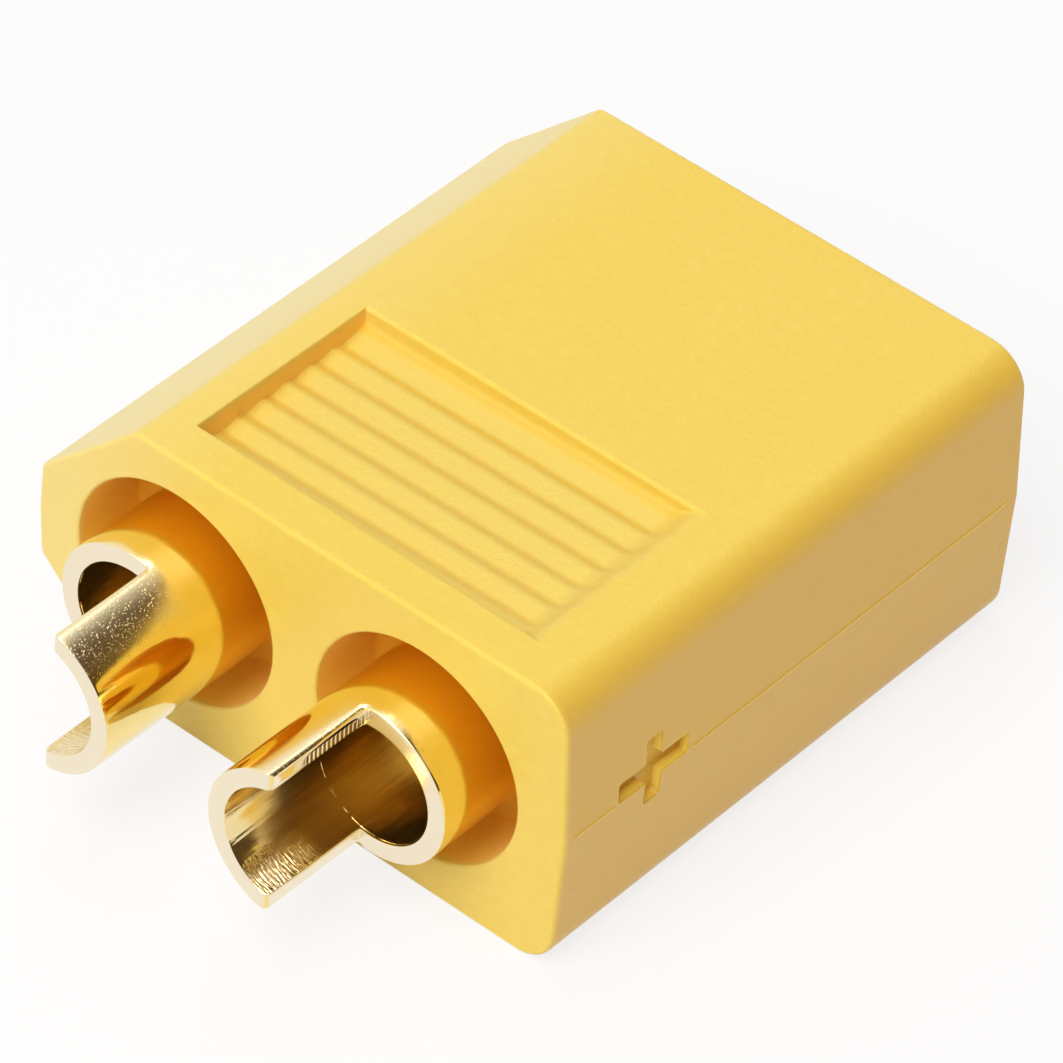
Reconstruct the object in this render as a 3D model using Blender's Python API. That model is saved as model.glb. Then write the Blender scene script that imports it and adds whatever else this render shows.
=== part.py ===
"""Two-pole battery power connector: a moulded shroud with two turned solder-cup contacts.

Run with blender --background --python part.py, or from the text editor.
Lengths are metres. X runs across the two poles, Y runs from the solder end to the mating
mouth, Z is up. The connector lies on its broad face, and its origin is under the middle of
its box. The pieces are drawn with the housing's rear face at Y = 0, and an empty that they
are parented to sets them over the origin. The two halves of the mould met at mid-height.
"""

import math

import bmesh
import bpy
from mathutils import Matrix, Vector

# Housing, outside
HOUSING_WIDTH = 0.0158
HOUSING_HEIGHT = 0.00805
HOUSING_LENGTH = 0.0160
SIDE_DRAFT = math.radians(2.7)
CORNER_RADIUS = 0.00105
KEY_CHAMFER_ACROSS = 0.00288
KEY_CHAMFER_DOWN = 0.0027
KEY_EDGE_RADIUS = 0.0003
END_EDGE_RADIUS = 0.00014

# Housing, mating cavity
RIM_WALL = 0.00115
CAVITY_DEPTH = 0.0089
CAVITY_CORNER_RADIUS = 0.0005
LEAD_IN = 0.00025

# Housing, round pockets behind the web that carries the contacts
CONTACT_PITCH = 0.00725
CONTACT_SHIFT = -0.00008
POCKET_DIAMETER = 0.00592
POCKET_DEPTH = 0.00205

# Housing, ridged grip panels in the two broad faces
PANEL_START = 0.00117
PANEL_KEY_MARGIN = 0.00082
PANEL_FLAT_MARGIN = 0.00195
PANEL_DEPTH = 0.00049
PANEL_DEPTH_RIGHT = 0.00036
PANEL_REAR_DROP = 0.00009
PANEL_RAMP = 0.0006
RIDGE_COUNT = 7
RIDGE_PITCH = 0.0008
RIDGE_HEIGHT = 0.00013
RIDGE_STEEP_RUN = 0.00024

# Contacts
CUP_DIAMETER = 0.00425
CUP_BORE = 0.00325
CUP_BORE_DEPTH = 0.0042
CUP_STAND_OUT = 0.00143
TONGUE_LENGTH = 0.00302
TONGUE_CUT_OFFSET = 0.0003
SHOULDER_SEAT = 0.0016
PIN_DIAMETER = 0.0035
PIN_TIP_SETBACK = 0.001
PIN_TIP_RADIUS = 0.0009
PIN_BORE = 0.0015
PIN_BORE_DEPTH = 0.0066
SLIT_WIDTH = 0.00045
SLIT_DEPTH = 0.0062
BARB_DIAMETER = 0.0039
BARB_LENGTH = 0.0007
BARB_SEAT = 0.0008
PRESSED_TURN = math.radians(3.5)

# Fit and mesh fineness
FIT_CLEARANCE = 0.0001
OVERCUT = 0.001
DRILL_ANGLE = math.radians(59)
ROUND_STEPS = 64
FILLET_STEPS = 6

# Colours, linear
HOUSING_YELLOW = (0.86, 0.53, 0.095, 1.0)
GOLD = (0.83, 0.60, 0.27, 1.0)

# Derived places
MID_HEIGHT = HOUSING_HEIGHT / 2
CAVITY_FLOOR = HOUSING_LENGTH - CAVITY_DEPTH
SHOULDER_Y = POCKET_DEPTH + SHOULDER_SEAT
PIN_TIP_Y = HOUSING_LENGTH - PIN_TIP_SETBACK
CUP_RIM_Y = -CUP_STAND_OUT
TONGUE_END_Y = CUP_RIM_Y - TONGUE_LENGTH
BARB_FRONT_Y = CAVITY_FLOOR - BARB_SEAT
PANEL_LEFT = -HOUSING_WIDTH / 2 + KEY_CHAMFER_ACROSS + PANEL_KEY_MARGIN
PANEL_RIGHT = HOUSING_WIDTH / 2 - PANEL_FLAT_MARGIN
PANEL_END = PANEL_START + RIDGE_COUNT * RIDGE_PITCH
BOX_MIDDLE_Y = (TONGUE_END_Y + HOUSING_LENGTH) / 2
CONTACTS = {
    "contact_negative": CONTACT_SHIFT - CONTACT_PITCH / 2,
    "contact_positive": CONTACT_SHIFT + CONTACT_PITCH / 2,
}
TURNS = {"contact_negative": PRESSED_TURN, "contact_positive": 0}


def clear_scene():
    for item in list(bpy.data.objects):
        bpy.data.objects.remove(item, do_unlink=True)


def finish(name, colour, metallic, roughness):
    material = bpy.data.materials.new(name)
    material.use_nodes = True
    shader = material.node_tree.nodes["Principled BSDF"]
    shader.inputs["Base Color"].default_value = colour
    shader.inputs["Metallic"].default_value = metallic
    shader.inputs["Roughness"].default_value = roughness
    return material


def make_frame():
    """The empty that carries every piece and cutter and sets the part over its origin."""
    frame = bpy.data.objects.new("connector frame", None)
    frame.location = (0, -BOX_MIDDLE_Y, 0)
    bpy.context.collection.objects.link(frame)
    return frame


def make_object(name, bm, material=None):
    bmesh.ops.remove_doubles(bm, verts=bm.verts, dist=1e-7)
    bmesh.ops.recalc_face_normals(bm, faces=bm.faces)
    mesh = bpy.data.meshes.new(name)
    bm.to_mesh(mesh)
    bm.free()
    if material:
        mesh.materials.append(material)
    mesh.shade_smooth()
    mesh.set_sharp_from_angle(angle=math.radians(30))
    item = bpy.data.objects.new(name, mesh)
    bpy.context.collection.objects.link(item)
    return item


def cut(target, cutter):
    """Take the cutter's space out of the target with a live Boolean."""
    cutter.hide_render = True
    cutter.display_type = "WIRE"
    step = target.modifiers.new("cut " + cutter.name, "BOOLEAN")
    step.operation = "DIFFERENCE"
    step.solver = "EXACT"
    step.object = cutter


# Outlines in the XZ plane


def intersection(point_a, way_a, point_b, way_b):
    cross = way_a.x * way_b.y - way_a.y * way_b.x
    gap = point_b - point_a
    return point_a + way_a * ((gap.x * way_b.y - gap.y * way_b.x) / cross)


def inset(corners, distance):
    """Move every side of an anticlockwise outline inwards by the same distance."""
    moved = []
    for index, corner in enumerate(corners):
        before = (corner - corners[index - 1]).normalized()
        after = (corners[(index + 1) % len(corners)] - corner).normalized()
        inward_before = Vector((-before.y, before.x)) * distance
        inward_after = Vector((-after.y, after.x)) * distance
        moved.append(intersection(corner + inward_before, before, corner + inward_after, after))
    return moved


def filleted(corners, radii):
    """Round each corner of an outline with a tangent arc of its own radius."""
    points = []
    for index, (corner, radius) in enumerate(zip(corners, radii)):
        if radius == 0:
            points.append(corner)
            continue
        back = (corners[index - 1] - corner).normalized()
        ahead = (corners[(index + 1) % len(corners)] - corner).normalized()
        half = back.angle(ahead) / 2
        centre = corner + (back + ahead).normalized() * (radius / math.sin(half))
        start = corner + back * (radius / math.tan(half)) - centre
        sweep = math.pi - 2 * half
        for step in range(FILLET_STEPS + 1):
            turn = Matrix.Rotation(sweep * step / FILLET_STEPS, 2)
            points.append(centre + turn @ start)
    return points


def housing_corners():
    """The housing seen from behind, anticlockwise from the lower flat-side corner."""
    half_width = HOUSING_WIDTH / 2
    full_draft = MID_HEIGHT * math.tan(SIDE_DRAFT)
    key_draft = (MID_HEIGHT - KEY_CHAMFER_DOWN) * math.tan(SIDE_DRAFT)
    key_top = HOUSING_HEIGHT - KEY_CHAMFER_DOWN
    return [
        Vector((half_width - full_draft, 0)),
        Vector((half_width, MID_HEIGHT)),
        Vector((half_width - full_draft, HOUSING_HEIGHT)),
        Vector((-half_width + KEY_CHAMFER_ACROSS, HOUSING_HEIGHT)),
        Vector((-half_width + key_draft, key_top)),
        Vector((-half_width, MID_HEIGHT)),
        Vector((-half_width + key_draft, KEY_CHAMFER_DOWN)),
        Vector((-half_width + KEY_CHAMFER_ACROSS, 0)),
    ]


def corner_radii(flat_side, key_side):
    return [flat_side, 0, flat_side, key_side, key_side, 0, key_side, key_side]


def add_ring(bm, outline, y):
    verts = [bm.verts.new((point.x, y, point.y)) for point in outline]
    return [bm.edges.new((vert, verts[index - 1])) for index, vert in enumerate(verts)]


def loft(sections):
    """A closed prism through outlines with equal counts of points, each at its own Y."""
    bm = bmesh.new()
    rings = [add_ring(bm, outline, y) for outline, y in sections]
    for ring, next_ring in zip(rings, rings[1:]):
        bmesh.ops.bridge_loops(bm, edges=ring + next_ring)
    bmesh.ops.contextual_create(bm, geom=rings[0])
    bmesh.ops.contextual_create(bm, geom=rings[-1])
    return bm


def turned(profile, centre_x):
    """A solid of revolution about a contact axis from (radius, y) points that end on it."""
    bm = bmesh.new()
    verts = [bm.verts.new((centre_x + radius, y, MID_HEIGHT)) for radius, y in profile]
    edges = [bm.edges.new(pair) for pair in zip(verts, verts[1:])]
    bmesh.ops.spin(
        bm,
        geom=verts + edges,
        cent=(centre_x, 0, MID_HEIGHT),
        axis=(0, 1, 0),
        angle=math.tau,
        steps=ROUND_STEPS,
        use_merge=True,
    )
    return bm


def block(low, high):
    """A box between two opposite corners."""
    bm = bmesh.new()
    size = Vector(high) - Vector(low)
    middle = (Vector(high) + Vector(low)) / 2
    place = Matrix.Translation(middle) @ Matrix.Diagonal(size).to_4x4()
    bmesh.ops.create_cube(bm, size=1, matrix=place)
    return bm


# Cutters for the housing


def contact_seat(name, centre_x):
    """Pocket, stepped bore and barb groove that one contact sits in."""
    cup = CUP_DIAMETER / 2 + FIT_CLEARANCE
    pin = PIN_DIAMETER / 2 + FIT_CLEARANCE
    groove = BARB_DIAMETER / 2 + FIT_CLEARANCE
    pocket = POCKET_DIAMETER / 2
    step = SHOULDER_Y + FIT_CLEARANCE
    profile = [
        (0, -OVERCUT),
        (pocket, -OVERCUT),
        (pocket, POCKET_DEPTH),
        (cup, POCKET_DEPTH),
        (cup, step),
        (pin, step),
        (pin, BARB_FRONT_Y - BARB_LENGTH - FIT_CLEARANCE),
        (groove, BARB_FRONT_Y - BARB_LENGTH - FIT_CLEARANCE),
        (groove, BARB_FRONT_Y - BARB_LENGTH + FIT_CLEARANCE),
        (pin, BARB_FRONT_Y + FIT_CLEARANCE),
        (pin, CAVITY_FLOOR + OVERCUT),
        (0, CAVITY_FLOOR + OVERCUT),
    ]
    return make_object("seat cutter " + name, turned(profile, centre_x))


def cavity_cutter():
    """The keyed mating cavity, with a small lead-in at its mouth."""
    radii = corner_radii(CAVITY_CORNER_RADIUS, KEY_EDGE_RADIUS)
    inner = filleted(inset(housing_corners(), RIM_WALL), radii)
    flare = LEAD_IN + OVERCUT
    mouth = filleted(inset(housing_corners(), RIM_WALL - flare), radii)
    sections = [
        (inner, CAVITY_FLOOR),
        (inner, HOUSING_LENGTH - LEAD_IN),
        (mouth, HOUSING_LENGTH + OVERCUT),
    ]
    return make_object("cavity cutter", loft(sections))


def crest_height(y, depth):
    """Height of the line over the ridge crests, which lie a little deeper at the rear."""
    rear_share = (PANEL_END - y) / (PANEL_END - PANEL_START)
    return HOUSING_HEIGHT - depth - PANEL_REAR_DROP * rear_share


def panel_section(depth):
    """Sawtooth floor of a grip panel as (y, z) points: long slopes that rise to the front."""
    points = [Vector((PANEL_START, HOUSING_HEIGHT + OVERCUT))]
    for index in range(RIDGE_COUNT):
        foot = PANEL_START + index * RIDGE_PITCH
        crest = foot + RIDGE_PITCH - RIDGE_STEEP_RUN
        if index == RIDGE_COUNT - 1:
            crest = PANEL_END
        points.append(Vector((foot, crest_height(foot, depth) - RIDGE_HEIGHT)))
        points.append(Vector((crest, crest_height(crest, depth))))
    points.append(Vector((PANEL_END, HOUSING_HEIGHT + OVERCUT)))
    return points


def panel_cutter(name, underside):
    """A ridged grip panel: steep walls on three sides, a run-out ramp on the flat side."""
    sections = [
        (PANEL_LEFT, PANEL_DEPTH),
        (PANEL_RIGHT - PANEL_RAMP, PANEL_DEPTH_RIGHT),
        (PANEL_RIGHT, -RIDGE_HEIGHT - PANEL_REAR_DROP - FIT_CLEARANCE),
    ]
    bm = bmesh.new()
    rings = []
    for x, depth in sections:
        verts = [bm.verts.new((x, point.x, point.y)) for point in panel_section(depth)]
        rings.append([bm.edges.new((vert, verts[i - 1])) for i, vert in enumerate(verts)])
    for ring, next_ring in zip(rings, rings[1:]):
        bmesh.ops.bridge_loops(bm, edges=ring + next_ring)
    bmesh.ops.contextual_create(bm, geom=rings[0])
    bmesh.ops.contextual_create(bm, geom=rings[-1])
    if underside:
        flip = Matrix.Translation((0, 0, HOUSING_HEIGHT)) @ Matrix.Scale(-1, 4, (0, 0, 1))
        bmesh.ops.transform(bm, matrix=flip, verts=bm.verts)
    return make_object(name, bm)


def make_housing(material):
    radii = corner_radii(CORNER_RADIUS, KEY_EDGE_RADIUS)
    outline = filleted(housing_corners(), radii)
    bm = loft([(outline, 0), (outline, HOUSING_LENGTH)])
    ends = [edge for edge in bm.edges if edge.verts[0].co.y == edge.verts[1].co.y]
    bmesh.ops.bevel(
        bm,
        geom=ends,
        offset=END_EDGE_RADIUS,
        offset_type="OFFSET",
        affect="EDGES",
        segments=2,
        profile=0.5,
        material=-1,
    )
    housing = make_object("housing", bm, material)
    for name, centre_x in CONTACTS.items():
        cut(housing, contact_seat(name, centre_x))
    cut(housing, cavity_cutter())
    cut(housing, panel_cutter("top panel cutter", underside=False))
    cut(housing, panel_cutter("under panel cutter", underside=True))
    return housing


# Contacts


def contact_profile():
    """Half section of a contact from the bottom of its cup bore to that of its pin bore."""
    cup = CUP_DIAMETER / 2
    bore = CUP_BORE / 2
    pin = PIN_DIAMETER / 2
    barb = BARB_DIAMETER / 2
    pin_bore = PIN_BORE / 2
    bore_end = CUP_RIM_Y + CUP_BORE_DEPTH
    pin_bore_end = PIN_TIP_Y - PIN_BORE_DEPTH
    points = [
        (0, bore_end + bore / math.tan(DRILL_ANGLE)),
        (bore, bore_end),
        (bore, TONGUE_END_Y),
        (cup, TONGUE_END_Y),
        (cup, SHOULDER_Y),
        (pin, SHOULDER_Y),
        (pin, BARB_FRONT_Y - BARB_LENGTH),
        (barb, BARB_FRONT_Y - BARB_LENGTH),
        (pin, BARB_FRONT_Y),
    ]
    for step in range(FILLET_STEPS + 1):
        angle = math.pi / 2 * step / FILLET_STEPS
        radius = pin - PIN_TIP_RADIUS * (1 - math.cos(angle))
        points.append((radius, PIN_TIP_Y - PIN_TIP_RADIUS * (1 - math.sin(angle))))
    points.append((pin_bore, PIN_TIP_Y))
    points.append((pin_bore, pin_bore_end))
    points.append((0, pin_bore_end - pin_bore / math.tan(DRILL_ANGLE)))
    return points


def turned_cutter(label, name, centre_x, low, high):
    """A block turned about a contact's axis by as much as that contact was pressed in askew."""
    bm = block(low, high)
    turn = Matrix.Rotation(TURNS[name], 3, "Y")
    axis_point = Vector((centre_x, 0, MID_HEIGHT))
    bmesh.ops.rotate(bm, verts=bm.verts, cent=axis_point, matrix=turn)
    return make_object("{} cutter {}".format(label, name), bm)


def tongue_cutter(name, centre_x, open_side):
    """Mills away the half of the cup that faces outwards, so wire can be laid in."""
    reach = CUP_DIAMETER / 2 + OVERCUT
    cut_plane = centre_x - open_side * TONGUE_CUT_OFFSET
    far_side = centre_x + open_side * reach
    low = (min(cut_plane, far_side), TONGUE_END_Y - OVERCUT, MID_HEIGHT - reach)
    high = (max(cut_plane, far_side), CUP_RIM_Y, MID_HEIGHT + reach)
    return turned_cutter("tongue", name, centre_x, low, high)


def slit_cutter(name, centre_x, upright):
    """One of the two crossed slits that part the pin into four springing leaves."""
    reach = PIN_DIAMETER / 2 + OVERCUT
    half_slit = SLIT_WIDTH / 2
    half_x = half_slit if upright else reach
    half_z = reach if upright else half_slit
    low = (centre_x - half_x, PIN_TIP_Y - SLIT_DEPTH, MID_HEIGHT - half_z)
    high = (centre_x + half_x, PIN_TIP_Y + OVERCUT, MID_HEIGHT + half_z)
    label = "upright slit" if upright else "level slit"
    return turned_cutter(label, name, centre_x, low, high)


def make_contact(name, centre_x, material):
    contact = make_object(name, turned(contact_profile(), centre_x), material)
    open_side = math.copysign(1, centre_x)
    cut(contact, tongue_cutter(name, centre_x, open_side))
    cut(contact, slit_cutter(name, centre_x, upright=True))
    cut(contact, slit_cutter(name, centre_x, upright=False))
    return contact


def build():
    clear_scene()
    frame = make_frame()
    yellow = finish("moulded nylon", HOUSING_YELLOW, metallic=0.0, roughness=0.55)
    gold = finish("gold plated brass", GOLD, metallic=1.0, roughness=0.2)
    make_housing(yellow)
    for name, centre_x in CONTACTS.items():
        make_contact(name, centre_x, gold)
    for item in bpy.data.objects:
        if item is not frame:
            item.parent = frame


build()
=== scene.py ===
# %% [markdown]
# # A battery connector: moulded nylon and gold-plated contacts
#
# This lesson dresses one small power connector, about 16 mm wide. It has three real pieces:
# a yellow nylon housing and two turned contacts. A fixed frame, already loaded from the
# engineering model, says where each piece is and how large it is. Nothing here moves that
# frame. Each step makes one piece or one finish that sits exactly where the frame says.

# %% Load the frame
import math

import bmesh
import bpy
from mathutils import Matrix, Vector


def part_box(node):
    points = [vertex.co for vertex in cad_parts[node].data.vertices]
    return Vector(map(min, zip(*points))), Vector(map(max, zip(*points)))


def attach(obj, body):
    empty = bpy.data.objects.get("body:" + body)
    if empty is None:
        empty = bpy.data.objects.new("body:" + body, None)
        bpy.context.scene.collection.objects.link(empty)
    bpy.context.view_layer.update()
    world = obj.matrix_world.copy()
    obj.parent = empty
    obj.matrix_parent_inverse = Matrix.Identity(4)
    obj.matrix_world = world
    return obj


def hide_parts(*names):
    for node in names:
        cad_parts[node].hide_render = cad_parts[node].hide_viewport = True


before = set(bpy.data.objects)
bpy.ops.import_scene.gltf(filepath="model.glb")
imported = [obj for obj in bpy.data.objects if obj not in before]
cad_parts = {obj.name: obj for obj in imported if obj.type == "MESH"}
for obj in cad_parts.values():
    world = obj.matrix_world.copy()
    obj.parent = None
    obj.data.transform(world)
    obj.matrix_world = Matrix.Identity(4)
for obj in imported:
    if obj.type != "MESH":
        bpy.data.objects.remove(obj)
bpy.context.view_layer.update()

MM = 0.001
print("frame nodes:", sorted(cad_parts))

# %% [markdown]
# ## The camera comes first
#
# A product photograph of something this small is taken from about two decimetres away with
# a long lens, so its far corner is only a little smaller than its near one. The azimuth,
# elevation and roll below were fitted to the outline in the photograph. The target is a
# point inside the housing, and the small slides move the picture without turning it.

# %% Camera
CAMERA_AZIMUTH = math.radians(38.2856)
CAMERA_ELEVATION = math.radians(42.2776)
CAMERA_ROLL = math.radians(3.9874)
CAMERA_DISTANCE = 179.84 * MM
CAMERA_TARGET = Vector((0, 2.225 * MM, 4 * MM))
CAMERA_SLIDE_RIGHT = 0.003 * MM
CAMERA_SLIDE_UP = -0.702 * MM
CAMERA_LENS = 266.6
CAMERA_SENSOR = 36


def aim_camera():
    level = math.cos(CAMERA_ELEVATION)
    back = Vector((
        math.sin(CAMERA_AZIMUTH) * level,
        -math.cos(CAMERA_AZIMUTH) * level,
        math.sin(CAMERA_ELEVATION),
    ))
    right = Vector((0, 0, 1)).cross(back).normalized()
    up = back.cross(right)
    roll = Matrix.Rotation(CAMERA_ROLL, 3, back)
    right = roll @ right
    up = roll @ up
    place = CAMERA_TARGET + back * CAMERA_DISTANCE
    place += right * CAMERA_SLIDE_RIGHT + up * CAMERA_SLIDE_UP
    turn = Matrix((right, up, back)).transposed().to_4x4()
    data = bpy.data.cameras.new("camera")
    data.lens = CAMERA_LENS
    data.sensor_width = CAMERA_SENSOR
    data.clip_start = 1 * MM
    data.clip_end = 10
    camera = bpy.data.objects.new("camera", data)
    camera.matrix_world = Matrix.Translation(place) @ turn
    bpy.context.scene.collection.objects.link(camera)
    bpy.context.scene.camera = camera
    return camera


camera = aim_camera()
print("camera stands at, in mm:", [round(value / MM, 1) for value in camera.location])

# %% [markdown]
# ## Places that the frame gives
#
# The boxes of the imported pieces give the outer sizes, the rear face, the two contact axes,
# the two ends of a contact and the radius of its cup. Sizes that a box can't give, such as
# a wall or a bore, are written once below, in millimetres. X runs across the poles, Y runs
# from the solder cups to the mating mouth, and Z is up.

# %% Places and sizes
housing_low, housing_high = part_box("housing")
REAR = housing_low.y
FRONT = housing_high.y
HALF_WIDTH = (housing_high.x - housing_low.x) / 2
HEIGHT = housing_high.z
MIDDLE = HEIGHT / 2
CONTACT_NODES = ("contact_negative", "contact_positive")


def axis_of(node):
    low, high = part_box(node)
    return (low.x + high.x) / 2


AXES = {node: axis_of(node) for node in CONTACT_NODES}
TONGUE_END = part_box("contact_positive")[0].y
PIN_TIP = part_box("contact_positive")[1].y
CUP_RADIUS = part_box("contact_positive")[1].z - MIDDLE

SIDE_DRAFT = math.radians(2.7)
KEY_ACROSS = 2.88 * MM
KEY_DOWN = 2.7 * MM
CORNER_RADIUS = 1.05 * MM
KEY_RADIUS = 0.3 * MM
END_ROUND = 0.11 * MM

RIM_WALL = 1.15 * MM
CAVITY_FLOOR = FRONT - 8.9 * MM
CAVITY_RADIUS = 0.5 * MM
LEAD_IN = 0.25 * MM

POCKET_RADIUS = 2.96 * MM
POCKET_FLOOR = REAR + 2.05 * MM
POCKET_MOUTH_ROUND = 0.07 * MM
POCKET_FLOOR_ROUND = 0.12 * MM

SHOULDER = POCKET_FLOOR + 1.6 * MM
PIN_RADIUS = 1.75 * MM
FIT = 0.1 * MM
OVERCUT = 1 * MM
HAIR = 0.05 * MM
TENTH = 0.1 * MM
print("contact axes in mm:", {node: round(x / MM, 3) for node, x in AXES.items()})
ends = [round(y / MM, 3) for y in (REAR, TONGUE_END, PIN_TIP)]
print("rear face, tongue end and pin tip in mm:", ends)

# %% [markdown]
# ## Small mesh tools
#
# `keep` turns a bmesh into an object at the origin, with its place in its vertices. `carve`
# adds a Boolean, the digital form of a mould insert: it takes one shape out of another, or
# adds it. `settle` runs the waiting modifiers and gives the plain mesh back, so that the
# next operator works on real geometry. `spin_profile` is a lathe, `block` is a box, and
# `pull_along_y` extrudes. `bevel` rounds edges by a set width, and `round_edges` by a set
# radius.

# %% Mesh tools
MERGE_DISTANCE = 1e-8
SAME_PLACE = 1e-7


def count_open(bm):
    return sum(not edge.is_manifold for edge in bm.edges)


def keep(name, bm):
    bmesh.ops.remove_doubles(bm, verts=bm.verts, dist=MERGE_DISTANCE)
    bmesh.ops.recalc_face_normals(bm, faces=bm.faces)
    open_edges = count_open(bm)
    mesh = bpy.data.meshes.new(name)
    bm.to_mesh(mesh)
    bm.free()
    piece = bpy.data.objects.new(name, mesh)
    bpy.context.scene.collection.objects.link(piece)
    print(name, "vertices:", len(mesh.vertices), "open edges:", open_edges)
    return piece


def carve(target, cutter, operation="DIFFERENCE"):
    step = target.modifiers.new(cutter.name, "BOOLEAN")
    step.operation = operation
    step.solver = "EXACT"
    step.object = cutter


def settle(piece):
    cutters = [step.object for step in piece.modifiers if step.type == "BOOLEAN"]
    bpy.context.view_layer.update()
    shaped = piece.evaluated_get(bpy.context.evaluated_depsgraph_get())
    mesh = bpy.data.meshes.new_from_object(shaped)
    piece.modifiers.clear()
    piece.data = mesh
    for cutter in cutters:
        bpy.data.objects.remove(cutter, do_unlink=True)
    bm = bmesh.new()
    bm.from_mesh(mesh)
    return bm


def spin_profile(points, centre_x, steps, start=Vector((1, 0, 0))):
    """A lathe: (radius, y) points that start and end on the axis, drawn towards start."""
    bm = bmesh.new()
    axis_point = Vector((centre_x, 0, MIDDLE))
    verts = [bm.verts.new(axis_point + start * radius + Vector((0, y, 0))) for radius, y in points]
    edges = [bm.edges.new(pair) for pair in zip(verts, verts[1:])]
    bmesh.ops.spin(
        bm,
        geom=verts + edges,
        cent=axis_point,
        axis=(0, 1, 0),
        angle=math.tau,
        steps=steps,
        use_merge=True,
    )
    bmesh.ops.remove_doubles(bm, verts=bm.verts, dist=MERGE_DISTANCE)
    return bm


def block(middle, size):
    """A box, from its middle and its three sides."""
    bm = bmesh.new()
    place = Matrix.Translation(middle) @ Matrix.Diagonal(size).to_4x4()
    bmesh.ops.create_cube(bm, size=1, matrix=place)
    return bm


def arc(centre, radius, start, end, steps):
    """Points on an arc in (radius, y), from one angle to another, in degrees."""
    for step in range(steps + 1):
        angle = math.radians(start + (end - start) * step / steps)
        yield centre[0] + radius * math.cos(angle), centre[1] + radius * math.sin(angle)


def bevel(bm, edges, width, segments, clamp=True):
    bmesh.ops.bevel(
        bm,
        geom=edges,
        offset=width,
        offset_type="OFFSET",
        affect="EDGES",
        segments=segments,
        profile=0.5,
        material=-1,
        clamp_overlap=clamp,
    )


def round_edges(bm, edges, radius, segments):
    """Bevel each edge so that its arc has the given radius, whatever angle its faces make."""
    groups = {}
    for edge in edges:
        sweep = round(math.degrees(edge.calc_face_angle(0)))
        groups.setdefault(sweep, []).append(edge)
    for sweep, group in groups.items():
        width = radius * math.tan(math.radians(sweep) / 2)
        bevel(bm, group, width, segments, clamp=False)


def sharp_edges(bm, angle):
    return [edge for edge in bm.edges if edge.is_manifold and edge.calc_face_angle(0) > angle]


def flat_at(item, axis, value):
    """True if all of an edge or a face lies at one value of "x", "y" or "z"."""
    return all(abs(getattr(vert.co, axis) - value) < SAME_PLACE for vert in item.verts)


def pull_along_y(bm, faces, distance):
    """Extrude faces along Y. A lone face stays as the far cap; attached ones are cleared away."""
    lone = all(len(edge.link_faces) == 1 for face in faces for edge in face.edges)
    made = bmesh.ops.extrude_face_region(bm, geom=faces)["geom"]
    left_behind = [face for face in faces if face.is_valid]
    if left_behind and not lone:
        bmesh.ops.delete(bm, geom=left_behind, context="FACES")
    verts = [item for item in made if isinstance(item, bmesh.types.BMVert)]
    bmesh.ops.translate(bm, verts=verts, vec=(0, distance, 0))
    bmesh.ops.recalc_face_normals(bm, faces=bm.faces)
    return verts


# %% [markdown]
# ## The housing's outer form
#
# Nylon shrinks onto its mould, so a moulded box is drafted: its sides lean in towards both
# ends of the pull. Here the mould opened up and down, and the widest line is at mid-height.
# One narrow side has two large chamfers, which key the polarity. The outline is eight
# points, extruded once. The edges are rounded afterwards, each with its own radius, because
# a bevel keeps tangents and a hand-made arc may not.

# %% Housing body
SQUARE_TURNS = (60, 120)
KEY_TURNS = (30, 60)


def eight_corners():
    lean_full = MIDDLE * math.tan(SIDE_DRAFT)
    lean_key = (MIDDLE - KEY_DOWN) * math.tan(SIDE_DRAFT)
    half = [
        (-HALF_WIDTH, MIDDLE),
        (-HALF_WIDTH + lean_key, KEY_DOWN),
        (-HALF_WIDTH + KEY_ACROSS, 0),
        (HALF_WIDTH - lean_full, 0),
        (HALF_WIDTH, MIDDLE),
    ]
    mirrored = [(x, HEIGHT - z) for x, z in reversed(half[1:4])]
    return half + mirrored


def outline_face(bm, y, inset=0.0):
    face = bm.faces.new([bm.verts.new((x, y, z)) for x, z in eight_corners()])
    face.normal_update()
    if inset:
        ring = bmesh.ops.inset_region(
            bm, faces=[face], thickness=inset, use_even_offset=True, use_boundary=True
        )
        bmesh.ops.delete(bm, geom=ring["faces"], context="FACES")
    return list(bm.faces)[0]


def long_edges(bm, low_angle, high_angle):
    """Edges along Y whose faces turn by between the two angles, in degrees."""
    found = []
    for edge in bm.edges:
        way = edge.verts[1].co - edge.verts[0].co
        turn = math.degrees(edge.calc_face_angle(0))
        if abs(way.y) > abs(way.x) + abs(way.z) and low_angle < turn < high_angle:
            found.append(edge)
    return found


body_bm = bmesh.new()
pull_along_y(body_bm, [outline_face(body_bm, REAR)], FRONT - REAR)
round_edges(body_bm, long_edges(body_bm, *SQUARE_TURNS), CORNER_RADIUS, segments=14)
round_edges(body_bm, long_edges(body_bm, *KEY_TURNS), KEY_RADIUS, segments=6)
end_edges = [edge for edge in body_bm.edges if flat_at(edge, "y", REAR) or flat_at(edge, "y", FRONT)]
round_edges(body_bm, end_edges, END_ROUND, segments=4)
housing = keep("housing_shell", body_bm)
print("housing body faces:", len(housing.data.polygons))

# %% [markdown]
# ## Pockets, bores and the mating cavity
#
# In the mould, each of these is a steel insert. The pocket round a solder cup keeps heat
# and stray solder off the nylon. Its insert is turned, so a lathe profile makes it, and the
# profile carries the small radii at its mouth and floor. The mating cavity is the keyed
# outline again, one wall further in, and it opens a little at its mouth so that the other
# half finds its way.

# %% Round pockets and contact bores
POCKET_STEPS = 128
# A little short of 270 degrees, where the arc would only graze the rear face.
MOUTH_ARC_END = 262


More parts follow.
